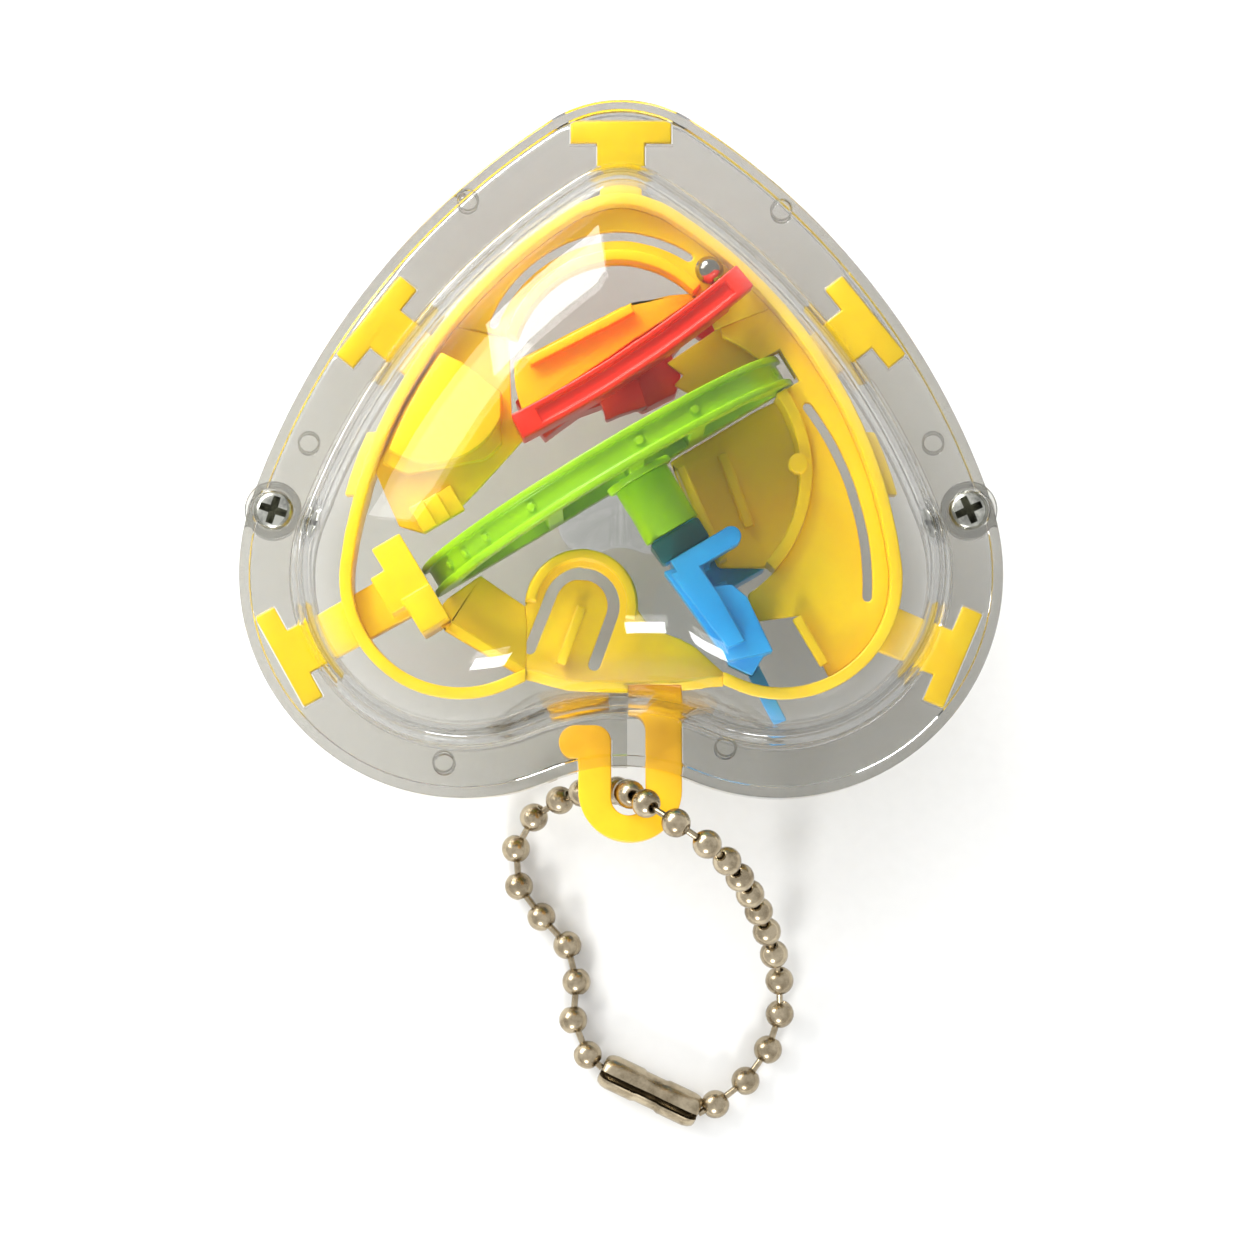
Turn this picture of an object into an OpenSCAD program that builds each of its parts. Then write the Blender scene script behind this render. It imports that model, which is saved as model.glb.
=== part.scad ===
// Heart-shaped ball maze on a ball-chain key ring, lying on its rear dome.
// The plan is drawn with X across the heart, Y up towards the cleft and the height
// measured from the joint between the two case halves; place() lifts it onto the table.

/* [Case] */
// Distance of each lobe's centre from the middle line
lobe_x = 12.9; // [12.6:0.1:13.2]
// Height of the lobes' centres above the screw line
lobe_y = 5.2; // [5:0.1:5.6]
// Radius of each lobe
lobe_r = 18.4; // [18.2:0.1:18.8]
// Radius of the long sides
side_r = 61; // [58:1:64]
// Radius of the rounded tip
tip_r = 10.7; // [10:0.1:11.2]
// Lowest point of the tip
tip_y = -33.9; // [-34.5:0.1:-33.5]
// Lowest point of the cleft
cleft_y = 21; // [20.8:0.1:21.4]
// Height of the closed case, dome to dome
case_h = 35; // [34:0.5:38]
// Thickness of each half's flange
flange_t = 1.8; // [1.6:0.1:2]
// Width of the flange outside the dome
flange_w = 4.3; // [4.1:0.1:4.5]
// Wall of the domes
wall = 1.3; // [1.1:0.1:1.4]
// Squareness of the dome's section, where 2 is an ellipse
dome_power = 2.4; // [2:0.1:2.8]
// Size of the flat on each dome, as a share of its base
dome_flat = 0.2; // [0.16:0.01:0.24]

/* [Screws] */
// Distance of each screw from the middle line
screw_x = 28.5; // [28.3:0.1:28.6]
// Radius of the screw heads
head_r = 1.55; // [1.4:0.05:1.6]
// Radius of the screw shanks
shank_r = 0.8; // [0.7:0.05:0.85]

/* [Maze base] */
// Radius of the rim's lobes
rim_lobe_r = 10; // [9.8:0.1:10.2]
// Lowest point of the rim
rim_tip_y = -26.1; // [-26.3:0.1:-26]
// Thickness of the rim
rim_wall = 1; // [0.9:0.1:1.1]
// Height of the floors' upper face
floor_t = 1; // [0.9:0.1:1.1]
// Half the thickness of the arms and their tabs
arm_half = 1.2; // [1:0.05:1.2]
// Length of the T-shaped tabs
tab_len = 8.3; // [7.8:0.1:8.4]
// Half the thickness of the hook
hook_half = 1.4; // [1.2:0.05:1.4]

/* [Ball and tracks] */
// Radius of the steel ball
ball_r = 1.19; // [1.15:0.01:1.19]
// Radius of the round track that the ball lies on
track_r = 11; // [10.9:0.05:11.05]
// Width of the slot that guides the ball
slot_w = 0.8; // [0.7:0.05:0.9]
// Length of the upright arc track
arc_len = 34.5; // [34:0.1:34.5]
// Width of the upright arc track
arc_w = 2.8; // [2.6:0.1:2.9]
// Top of the upright arc track
arc_top = 13.5; // [12.5:0.1:13.8]

/* [Key chain] */
// Diameter of the chain's balls
bead_d = 2.4; // [2.2:0.1:2.4]
// Length of the chain's connector
link_len = 9; // [8.8:0.1:9.2]
// Radius of the chain's connector
link_r = 1.5; // [1.4:0.05:1.5]

/* [Hidden] */
$fn = 64;
eps = 0.02;          // overlap of a cutter past the face that it cuts
gap = 0.1;           // clearance of a moulded piece in its seat
mid_z = case_h / 2;  // height of the joint between the case halves
centre_y = 3.35;     // moves the middle of the heart and its hook onto the origin
dome_base = 0.9;     // where the dome's wall starts, inside the flange
dome_tip_y = -28.6;  // lowest point of the dome's outline
dome_cy = -2;        // middle of the dome's rings
bead_w = 0.9;        // width of the raised line along the flange's edge
bead_h = 0.5;        // height of that line
base_yellow = [1, 0.82, 0.12];
track_green = [0.62, 0.88, 0.1];
blade_red = [0.96, 0.2, 0.1];
tower_blue = [0.16, 0.58, 0.86];
clear_grey = [0.8, 0.82, 0.84, 0.35];
nickel = [0.72, 0.68, 0.6];

// Tabs: place of the bar's middle and the direction that it faces
tip_tab = [[0, -31.3], -90];
upper_left = [[-27.2, 12], 157];
upper_right = [[27.2, 12], 29];
lower_left = [[-20.1, -15.6], 219];
lower_right = [[20.1, -15.6], -39];
tabs = [tip_tab, upper_left, upper_right, lower_left, lower_right];
tab_w = 1.8;
stem_w = 3.9;
stem_len = 8;

// Length of the tower's pin and half its thickness
pin_len = 5.7;
pin_half = 0.6;

// Outline of the tower's top block
tower_top = [[-12.1, 11.2], [-10.6, 10.4], [-8.6, 11.2], [-8.6, 12.8], [-10.6, 13.7]];

// Middle of the round track at the tip, and of the pocket's curved wall
track_c = [0.2, -11.7];
track_in = 8.6;
pocket_c = [-3.6, -3.2];
pocket_r = 11.6;
rest_angle = -133;   // where the ball lies on the round track

// Middle and direction of the upright arc track and of the curved blade
arc_c = [1, -3.15];
arc_turn = 30.9;
arc_low = -3;        // flat underside of the arc track
stem_at = -1.9;      // the stem's place along the arc track
stem_w0 = 3.5;       // height of the stem's axis
blade_c = [-1.5, -13.25];
blade_turn = 34.3;
blade_bow = 0.75;    // how far the blade's middle stands proud of a straight line

// Key chain's route: from the connector's right end to the hook, and back to its left end
chain_route = [[1.6, 45.7, 1.5], [3.01, 44.43, 1.45], [3.9, 42.75, 1.3], [4.15, 40.77, 1.25],
    [3.75, 38.75, 1.25], [3.85, 36.6, 1.25], [4.9, 34.7, 1.25], [6.7, 33, 1.25], [8.4, 31.1, 1.3],
    [9.15, 28.7, 1.4], [8.7, 26.2, 1.7], [7.1, 24.3, 2.6], [5.1, 23.2, 4.4], [3.2, 22.7, 7],
    [1.4, 22.6, 10.2], [0, 22.8, 13.6], [-0.6, 23.15, 16.4], [-0.6, 23.2, 18.2],
    [-1, 23.45, 20.4], [-2.35, 24.35, 22.4], [-4.65, 25.9, 23.3], [-7.05, 27.5, 22.2],
    [-9, 29.05, 19.2], [-10.4, 30.9, 15], [-11.6, 33, 10.6], [-12.6, 35.4, 6.8], [-13.3, 38, 3.8],
    [-13.5, 40.6, 2.1], [-13, 43.1, 1.4], [-11.6, 45.6, 1.3], [-9.5, 47.9, 1.4], [-6.53, 49.56, 1.5]];
link_turn = -25.4;   // direction of the connector
link_c = [-2.465, 47.63];

// ---- Outlines

function polar(c, r, a) = c + r * [cos(a), sin(a)];
function heading(v) = atan2(v[1], v[0]);
function arc_points(c, r, a0, a1, n) = [for (i = [0:n]) polar(c, r, a0 + (a1 - a0) * i / n)];

// Round-ended slot along an arc
function slot_outline(c, r, w, a0, a1, n = 24) =
    concat(arc_points(c, r + w / 2, a0, a1, n), cap(polar(c, r, a1), w / 2, a1),
        arc_points(c, r - w / 2, a1, a0, n), cap(polar(c, r, a0), w / 2, a0 + 180));
function cap(c, r, a) = [for (i = [1:5]) polar(c, r, a + 30 * i)];

// Middle of the side arc, which meets the lobe and the tip without a corner
function side_centre(l, lr, t, tr, sr) =
    let (d = norm(t - l), u = (t - l) / d, ra = sr - lr, rb = sr - tr)
    let (along = (ra * ra - rb * rb + d * d) / (2 * d))
    l + along * u + sqrt(ra * ra - along * along) * [u[1], -u[0]];

// Right half of a heart from cleft to tip, as four arcs that meet smoothly
function half_heart(lx, ly, lr, sr, tr, ty, cy, n) =
    let (k = cy - ly, f = (lx * lx + k * k - lr * lr) / (2 * (lr - k)))
    let (l = [lx, ly], t = [0, ty + tr], c = [0, cy + f], s = side_centre(l, lr, t, tr, sr))
    concat(arc_points(c, f, -90, heading(l - c), n),
        arc_points(l, lr, heading(c - l), heading(l - s), 5 * n),
        arc_points(s, sr, heading(l - s), heading(t - s), 3 * n),
        arc_points(t, tr, heading(t - s), -90, 2 * n));

// Whole outline, without the doubled points where arcs and halves meet
function whole(half) =
    let (h = [for (i = [1:len(half) - 1]) if (norm(half[i] - half[i - 1]) > 0.01) half[i]])
    concat([half[0]], h, [for (i = [len(h) - 2:-1:0]) [-h[i][0], h[i][1]]]);

function flange_outline(d, n = 5) =
    whole(half_heart(lobe_x, lobe_y, lobe_r - d, side_r - d, tip_r - d, tip_y + d, cleft_y - d, n));
function dome_outline(d, n = 3) =
    whole(half_heart(lobe_x, lobe_y, lobe_r - flange_w - d, side_r - flange_w - d,
        tip_r - flange_w - d, dome_tip_y + d, cleft_y - flange_w - d, n));
function rim_outline(d, n = 5) =
    whole(half_heart(13, 5.6, rim_lobe_r - d, 40 - d, 8.8 - d, rim_tip_y + d, 12.8 - d, n));

// ---- Shared shapes

module place() translate([0, centre_y, mid_z]) children();
module slab(low, high) translate([0, 0, low]) linear_extrude(high - low) children();
module along(c, turn) translate([c[0], c[1], 0]) rotate(turn) children();
module inside_rim() polygon(rim_outline(rim_wall));

// Band of constant width along an arc
module arc_band(c, r, w, a0, a1, low, high)
    translate([c[0], c[1], low]) rotate(a0) rotate_extrude(angle = a1 - a0)
        translate([r - w / 2, 0]) square([w, high - low]);

// Straight wall between two points
module wall_between(a, b, w, low, high)
    along(a, heading(b - a)) translate([0, -w / 2, low]) cube([norm(b - a), w, high - low]);

// T-shaped tab with its arm, running inwards from its bar
module tab_shape(tab, grow = 0)
    translate(tab[0]) rotate(tab[1] - 90) {
        square([tab_len + 2 * grow, tab_w + 2 * grow], center = true);
        translate([-stem_w / 2 - grow, -stem_len]) square([stem_w + 2 * grow, stem_len]);
    }

module hook_shape(grow = 0) {
    difference() {
        union() {
            translate([-0.75, 22.95]) circle(4.25 + grow);
            translate([-5 - grow, 14.4 - grow]) square([4.4 + grow, 8.6 + grow]);
            translate([0.8 - grow, 18.8 - grow]) square([2.7 + 2 * grow, 4.2 + grow]);
            translate([3.7, 19]) circle(1.4 + grow);
            translate([2.2, 17.6 - grow]) square([1.5, 2.8 + 2 * grow]);
            translate([2.2, 19]) circle(1.4 + grow);
        }
        translate([-0.6, 23.6]) circle(1.4 - grow);
        translate([-2 + grow, 18]) square([2.8 - 2 * grow, 5.6]);
        translate([-0.6, 18]) circle(1.4 - grow);
    }
}

// ---- Case

// Closed skin between an outer and an inner dome
module dome() {
    rings = 7;
    last = acos(pow(dome_flat, dome_power / 2));
    function ring(outline, top, i) =
        let (a = last * i / rings, s = pow(cos(a), 2 / dome_power), h = pow(sin(a), 2 / dome_power))
        let (full = pow(sin(last), 2 / dome_power))
        [for (p = outline)
            [p[0] * s, dome_cy + (p[1] - dome_cy) * s, dome_base + (top - dome_base) * h / full]];
    outer = dome_outline(0);
    inner = dome_outline(wall);
    m = len(outer);
    points = concat([for (i = [0:rings]) each ring(outer, mid_z, i)],
        [for (i = [0:rings]) each ring(inner, mid_z - wall, i)]);
    start = (rings + 1) * m;
    faces = concat(
        [for (i = [0:rings - 1]) for (j = [0:m - 1])
            [i * m + j, i * m + (j + 1) % m, (i + 1) * m + (j + 1) % m, (i + 1) * m + j]],
        [for (i = [0:rings - 1]) for (j = [0:m - 1])
            [start + i * m + j, start + (i + 1) * m + j, start + (i + 1) * m + (j + 1) % m,
                start + i * m + (j + 1) % m]],
        [[for (j = [0:m - 1]) rings * m + j]],
        [[for (j = [m - 1:-1:0]) start + rings * m + j]],
        [for (j = [0:m - 1]) [j, start + j, start + (j + 1) % m, (j + 1) % m]]);
    polyhedron(points, faces, convexity = 4);
}

// One case half without its seats: flange, edge line, screw boss and dome
module half_case() {
    difference() {
        union() {
            slab(0, flange_t) polygon(flange_outline(0));
            slab(flange_t - eps, flange_t + bead_h) difference() {
                polygon(flange_outline(0));
                polygon(flange_outline(bead_w));
            }
            for (side = [-1, 1]) translate([side * screw_x, 0, 0])
                cylinder(r = head_r + 0.8, h = flange_t + bead_h);
        }
        slab(-1, flange_t + 1) polygon(dome_outline(wall / 2));
    }
    dome();
}

// Space for the tabs, their arms and the hook between the halves
module seats(deep, hook_deep) {
    slab(-1, deep) for (tab = tabs) tab_shape(tab, gap);
    slab(-1, hook_deep) hook_shape(gap);
}

module front_shell() color(clear_grey) place() difference() {
    half_case();
    seats(arm_half + gap / 2, hook_half + gap / 2);
    for (side = [-1, 1]) translate([side * screw_x, 0, 0]) {
        translate([0, 0, -1]) cylinder(r = shank_r + 0.1, h = 5);
        translate([0, 0, 1.3]) cylinder(r = head_r + 0.1, h = 5);
    }
}

module rear_shell() color(clear_grey) place() mirror([0, 0, 1]) difference() {
    half_case();
    seats(arm_half + gap / 2, hook_half + gap / 2);
    slab(-2, 4) for (tab = tabs) difference() {
        tab_shape(tab, 1.3 * gap);
        polygon(dome_outline(-0.3));
    }
    slab(-2, 4) difference() {
        hook_shape(1.3 * gap);
        translate([-8, 10]) square([16, 7.4]);
    }
    for (side = [-1, 1]) translate([side * screw_x, 0, -1]) cylinder(r = shank_r + 0.05, h = 5);
}

module case_screws() color(nickel) place() for (side = [-1, 1]) translate([side * screw_x, 0, 0]) {
    difference() {
        union() {
            translate([0, 0, 1.32]) cylinder(r = head_r, h = 0.5);
            translate([0, 0, 1.82]) cylinder(r1 = head_r, r2 = 1.1, h = 0.5, $fn = 48);
        }
        for (turn = [20, 110]) rotate(turn) translate([-0.9, -0.2, 1.7]) cube([1.8, 0.4, 1]);
    }
    translate([0, 0, -2.2]) cylinder(r = shank_r, h = 3.52);
}

// ---- Maze base, one moulding drawn as simple pieces that meet face to face

module hook() color(base_yellow) place() slab(-hook_half, hook_half) hook_shape();

module tab_arm(tab) color(base_yellow) place() slab(-arm_half, arm_half) difference() {
    tab_shape(tab);
    polygon(rim_outline(0));
}
module tip_tab_arm() tab_arm(tip_tab);
module upper_tab_arm_left() tab_arm(upper_left);
module upper_tab_arm_right() tab_arm(upper_right);
module lower_tab_arm_left() tab_arm(lower_left);
module lower_tab_arm_right() tab_arm(lower_right);

// Heart-shaped wall round the maze, open at the cleft, with a ledge at each side
module maze_rim() color(base_yellow) place() difference() {
    union() {
        slab(-2, 3) difference() {
            polygon(rim_outline(0));
            polygon(rim_outline(rim_wall));
        }
        slab(0, 2) intersection() {
            difference() {
                polygon(rim_outline(-0.9));
                polygon(rim_outline(0.5));
            }
            translate([-30, -6.5]) square([60, 5.2]);
        }
    }
    slab(-3, 4) translate([-8.2, 5]) square([15.8, 12]);
    slab(-0.8, 0.8) pin_shape(0.15);
}

// U-shaped slot, outer side first
u_slot = concat(arc_points([0, 0], 3.1, 180, 360, 16), arc_points([2.6, 4.8], 0.5, 0, 180, 6),
    arc_points([0, 0], 2.1, 360, 180, 16), arc_points([-2.6, 4.3], 0.5, 0, 180, 6));

module top_plate_shape() {
    polygon([[-8.2, 14.6], [-4, 15], [0, 15.15], [4.3, 14.9], [7.6, 14.1], [7.6, 8.1],
        [3, 7], [-1.3, 8], [-2.4, 9.6], [-5, 10.6], [-8.2, 13.4]]);
    translate([3.2, 7.8]) circle(4.6);
}
module top_plate() color(base_yellow) place() difference() {
    union() {
        slab(0, floor_t) top_plate_shape();
        slab(floor_t, floor_t + 1.2) difference() {
            top_plate_shape();
            translate([0, -0.9]) top_plate_shape();
            translate([-4, 0]) square([20, 12]);
        }
        arc_band([3.2, 7.8], 4.1, 0.8, 165, 355, floor_t, floor_t + 1.3);
        along([3.2, 7.8], -20) translate([-0.4, 0.2, floor_t]) cube([0.8, 5, 0.9]);
    }
    slab(-1, 4) along([3.2, 7.8], -20) polygon(u_slot);
    slab(-1, 4) hook_shape(eps);
}

module lobe_bridge() color(base_yellow) place() difference() {
    union() {
        slab(0, floor_t)
            polygon([[7.6, 14.1], [11.5, 11.6], [15.6, 9], [14.2, 7.2], [11.5, 5.3], [7.6, 8]]);
        wall_between([7.7, 13.5], [14, 9.5], 0.8, floor_t, floor_t + 1.2);
    }
    slab(-1, 4) {
        translate([3.2, 7.8]) circle(4.6);
        bracket_shape();
    }
    slab(-3, 6) difference() {
        polygon(rim_outline(-2));
        inside_rim();
    }
}

// Everything on the tip's side of the round track's two ends
module track_sector()
    polygon(concat([track_c], [for (a = [-158:13:-11]) polar(track_c, 30, a)]));
module arc_slit() along(arc_c, arc_turn) square([arc_len + 0.3, arc_w + 0.3], center = true);

module left_band() color(base_yellow) place() difference() {
    union() {
        slab(0, floor_t) difference() {
            intersection() {
                inside_rim();
                polygon([[-25, 14.2], [-17.2, 14.2], [-14.6, 8.6], [-10.4, 9.2], [-10.4, 6.5],
                    [-12, 2], [-8, -16], [-8, -25], [-25, -25]]);
            }
            translate(pocket_c) circle(pocket_r + 0.5 + eps);
            track_sector();
        }
        wall_between([-16.6, 12.7], [-14.3, 8.8], 0.8, floor_t, floor_t + 1.2);
        wall_between([-18.1, 3], [-15.9, -7], 0.8, -1.3, 0);
    }
    slab(-1, 2) polygon(slot_outline([3.7, 5.8], 23.9, slot_w, 177, 217));
    slab(-4, 6) arc_slit();
}

// Tray that hangs below the floors, with a curved wall and a straight one
module pocket_shape() intersection() {
    translate(pocket_c) circle(pocket_r - 0.2);
    polygon([[-13, 4.4], [-8.1, 4.4], [-6.2, 0.5], [-3.8, -5], [-18, -12], [-18, 2]]);
    along(arc_c, arc_turn) translate([-30, arc_w / 2 + 0.15]) square([60, 30]);
}
module pocket() color(base_yellow) place() {
    slab(-4, -3) pocket_shape();
    wall_between([-8.4, 4], [-6.6, 0.4], 0.8, -3.5, 0.9);
    wall_between([-6.7, 0.6], [-4.9, -3.7], 0.8, -3.5, 0.9);
    difference() {
        arc_band(pocket_c, pocket_r, 1, 138, 226, -4, 2);
        slab(-5, 3) along(arc_c, arc_turn) translate([-30, -20]) square([60, 20 + arc_w / 2 + 0.15]);
    }
    wall_between([-10.6, 1], [-8.4, -5], 0.8, -3.5, -2);
    translate([-14.5, -3.8, 0.6]) cylinder(r = 0.8, h = 1.9);
}

module corner_floor() color(base_yellow) place() slab(-2, -1) difference() {
    intersection() {
        inside_rim();
        polygon([[-14.5, -11], [-6.8, -9.2], [-4.4, -10.6], [-5.2, -11.4], [-3.8, -12.4], [-7.6, -15],
            [-11.5, -18.5], [-15, -15.5]]);
    }
    arc_slit();
}

module bottom_track() color(base_yellow) place() difference() {
    union() {
        slab(0, floor_t) difference() {
            intersection() {
                inside_rim();
                track_sector();
            }
            translate(track_c) circle(track_in);
        }
        arc_band(track_c, track_in + 0.55, 0.9, -135, -16, floor_t / 2, 3);
    }
    slab(-1, 2) polygon(slot_outline(track_c, track_r, slot_w, -122, -20));
}

module lens_bar() color(base_yellow) place() {
    slab(0, floor_t) intersection() {
        translate(track_c) circle(track_in);
        polygon([[-9, -17.2], [-6, -18], [-4, -17.8], [0, -16.8], [4, -14.8], [9.6, -11.9], [10, -8],
            [8.2, -7.8], [-7.2, -18.2], [-8.5, -16]]);
        along(blade_c, blade_turn) translate([-20, -12]) square([40, 11.8]);
    }
    wall_between([-1, -16.6], [7.6, -12.2], 0.8, floor_t, floor_t + 1.1);
}

module right_plate_shape() difference() {
    intersection() {
        inside_rim();
        polygon([[7.9, -6], [10.4, -3.2], [14, 0.6], [16.2, 1.8], [18.2, 1.2], [20.4, -3.6], [22, -8],
            [14, -22], [9.3, -16], [9, -8]]);
    }
    translate(track_c) circle(track_in);
    track_sector();
}
module right_plate() color(base_yellow) place() {
    slab(0, floor_t) right_plate_shape();
    for (step = [0, 1]) slab(floor_t / 2, floor_t + 1.1 * (step + 1)) intersection() {
        polygon(rim_outline(rim_wall + 0.3 + 0.3 * step));
        translate([15.5, -10]) circle(7.3 - 1.1 * step);
        polygon([[9.8, -9.6], [9.8, -4.4], [19.4, -2.6], [22, -8], [17, -14], [13, -12]]);
    }
    wall_between([17.6, -0.6], [12, -8.4], 0.8, -1.3, 0);
}

module stair_steps() color(base_yellow) place() for (step = [0:2])
    along([14.6, -0.8], arc_turn) translate([-1.2 + 1.3 * step, -0.8, floor_t])
        cube([1.3, 2.4, 0.8 + 0.7 * step]);

module bracket_shape() along(arc_c, arc_turn) {
    translate([arc_len / 2 + 0.05, -4.2]) square([2.6, 8]);
    translate([arc_len / 2 + 2.65, -2.2]) square([1.3, 3.4]);
}
module bracket() color(base_yellow) place() {
    slab(-4, 5) bracket_shape();
    slab(5, 6) along(arc_c, arc_turn) translate([arc_len / 2 + 0.05, 0.6]) square([2.6, 3.2]);
    slab(-arm_half, arm_half) difference() {
        intersection() {
            inside_rim();
            translate(upper_right[0]) rotate(upper_right[1] - 90)
                translate([-stem_w / 2, -12]) square([stem_w, 12]);
        }
        bracket_shape();
    }
}

// ---- Coloured inner pieces

// Upright D-shaped track: grooved arc, straight foot and a pierced web
module arc_track() color(track_green) place() along(arc_c, arc_turn) rotate([90, 0, 0]) {
    rise = arc_top - arc_low;
    radius = arc_len * arc_len / 8 / rise + rise / 2;
    translate([0, arc_top - radius, 0]) difference() {
        intersection() {
            cylinder(r = radius, h = arc_w, center = true, $fn = 96);
            translate([-arc_len / 2, radius - rise, -5]) cube([arc_len, rise, 10]);
        }
        difference() {
            cylinder(r = radius - 2, h = 5, center = true, $fn = 96);
            translate([-20, -20, -3]) cube([40, 20 + radius - rise + 1.8, 6]);
            for (x = [-7.6, stem_at, 5.8]) translate([x - 0.7, -5, -arc_w / 2]) cube([1.4, 30, arc_w]);
            cylinder(r = radius - 2, h = 0.9, center = true, $fn = 96);
        }
        for (x = [-11, -4.9, 2, 10]) translate([x, radius - 8.6, 0])
            cylinder(r = 1.9, h = 4, center = true);
        rotate_extrude($fn = 96) translate([radius - 0.5, -0.8]) square([2, 1.6]);
    }
    // studs in the groove
    translate([0, arc_top - radius, 0]) for (x = [15, 13.5, 11.5, 7.2, -2.9, -8, -15.9])
        rotate([0, 0, -asin(x / (radius - 0.5))]) translate([0, radius - 0.8, 0])
            rotate([-90, 0, 0]) cylinder(r = 0.4, h = 0.55);
    translate([stem_at, stem_w0, -arc_w / 2 - 0.6]) cylinder(r = 2.9, h = 0.6);
}

// Hollow stem that carries the tower
module stem_socket() color(track_green) place() along(arc_c, arc_turn) difference() {
    translate([stem_at, arc_w / 2 + 0.6, stem_w0]) rotate([-90, 0, 0]) cylinder(r = 2.4, h = 5);
    translate([stem_at - 1.5, arc_w / 2 + 1.8, stem_w0 - 3]) cube([3, 2.9, 3.6]);
}

module curved_blade() color(blade_red) place() {
    bow_r = 144 / (2 * blade_bow);
    along(blade_c, blade_turn) difference() {
        translate([0, blade_bow - bow_r, 0]) difference() {
            arc_band([0, 0], bow_r, 2.2, 82.8, 96.1, floor_t + 0.05, 5.5);
            arc_band([0, 0], bow_r, 1.2, 84, 95.2, 5, 6);
        }
        translate([-14, -3, 0]) cube([6, 6, 3.05]);
    }
    along(blade_c, blade_turn) translate([-0.5, 0, -2.3]) cube([8.5, 1.2, 3.4]);
    along([-0.1, -9.3], 20) translate([-1.8, -1.2, -2.3]) cube([3.6, 2.4, 2.6]);
    slab(-6.5, -2.1) difference() {
        polygon([[6.3, -6.3], [8.8, -9.3], [7.9, -10.3], [3, -12.5], [-2.5, -16.4], [-5.2, -17.6],
            [-6.8, -16.6], [-4.2, -13.2], [-5, -11.5], [-4.5, -10], [-1.8, -8.7], [-0.6, -9.3], [0.6, -9.5],
            [3.6, -8.4]]);
        along([-5.3, -15.2], blade_turn) square([2.4, 1.2], center = true);
    }
    slab(-6.5, -2.1) polygon([[-8.2, -15.4], [-6.4, -18.6], [-8.9, -20.1], [-10.9, -17.4]]);
    slab(-5.5, -3) polygon([[-8.2, -15.5], [-7, -17.6], [-5.8, -17], [-6.2, -15], [-7.2, -14.4]]);
}

module tower() color(tower_blue) place() {
    along(arc_c, arc_turn) {
        translate([stem_at - 2, arc_w / 2 + 5.65, stem_w0 - 2]) cube([4, 2.1, 4]);
        translate([stem_at - 3.7, arc_w / 2 + 7.75, stem_w0 - 0.5]) cube([5.3, 1.6, 4]);
        translate([stem_at - 3.7, arc_w / 2 + 8.55, stem_w0 - 0.5]) cylinder(r = 0.8, h = 4);
        translate([stem_at - 1.4, arc_w / 2 + 7.7, -4.4]) cube([3, 1.65, 8]);
    }
    slab(floor_t + 0.1, 6) polygon([[-6.4, 4.4], [-3.4, 5.4], [-8.6, 12.6], [-12.3, 11.8],
        [-10.2, 7.4], [-9, 6.4], [-7.2, 6.6]]);
    slab(6, 7) polygon([[-6.2, 4.8], [-4, 5.6], [-8.6, 11.6], [-10, 11], [-8, 7.4]]);
    slab(-3, 3) polygon(tower_top);
    slab(-7, -0.1) polygon([[-12.1, 11.6], [-9.2, 7.6], [-8.6, 5.6], [-6.9, 6.4], [-8.5, 12.4]]);
    slab(-10, -4.3) along([-7.6, 3.2], arc_turn) square([6.3, 6.3], center = true);
}

module pin_shape(grow = 0) along([-10.5, 12.6], 116)
    translate([-grow, -pin_half - grow]) square([pin_len + 2 * grow, 2 * (pin_half + grow)]);
module tower_pin() color(tower_blue) place() slab(-pin_half, pin_half) difference() {
    pin_shape();
    polygon(tower_top);
}

// ---- Ball and key chain

module steel_ball() color(nickel) place()
    translate(concat(polar(track_c, track_r, rest_angle), floor_t + ball_r + 0.03)) sphere(r = ball_r);

// Eight-sided tube swept along the route, its two ends flat against the connector
function way(i) = i == 0 ? [cos(link_turn), sin(link_turn), 0]
    : i == len(chain_route) - 1 ? [cos(link_turn), sin(link_turn), 0]
    : chain_route[i + 1] - chain_route[i - 1];
function tube_ring(i, sides) =
    let (t = way(i) / norm(way(i)), side = cross(t, abs(t[2]) > 0.8 ? [0, 1, 0] : [0, 0, 1]))
    let (a = side / norm(side), b = cross(a, t), step = 360 / sides)
    [for (k = [0:sides - 1])
        chain_route[i] + bead_d / 2 * (cos(step * (k + 0.5)) * a + sin(step * (k + 0.5)) * b)];
module ball_chain() {
    n = len(chain_route);
    m = 8;
    points = [for (i = [0:n - 1]) each tube_ring(i, m)];
    color(nickel) translate([0, centre_y, 0]) polyhedron(points, concat(
        [for (i = [0:n - 2]) for (k = [0:m - 1])
            [i * m + k, i * m + (k + 1) % m, (i + 1) * m + (k + 1) % m, (i + 1) * m + k]],
        [[for (k = [m - 1:-1:0]) k]],
        [[for (k = [0:m - 1]) (n - 1) * m + k]]));
}

module chain_connector() color(nickel) translate([link_c[0], link_c[1] + centre_y, link_r])
    rotate(link_turn) rotate([0, 90, 0]) cylinder(r = link_r, h = link_len, center = true);

front_shell();
rear_shell();
case_screws();
hook();
tip_tab_arm();
upper_tab_arm_left();
upper_tab_arm_right();
lower_tab_arm_left();
lower_tab_arm_right();
maze_rim();
top_plate();
lobe_bridge();
left_band();
pocket();
corner_floor();
bottom_track();
lens_bar();
right_plate();
stair_steps();
bracket();
arc_track();
stem_socket();
curved_blade();
tower();
tower_pin();
steel_ball();
ball_chain();
chain_connector();
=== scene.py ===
import math

import bmesh
import bpy
from mathutils import Matrix, Vector


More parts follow.
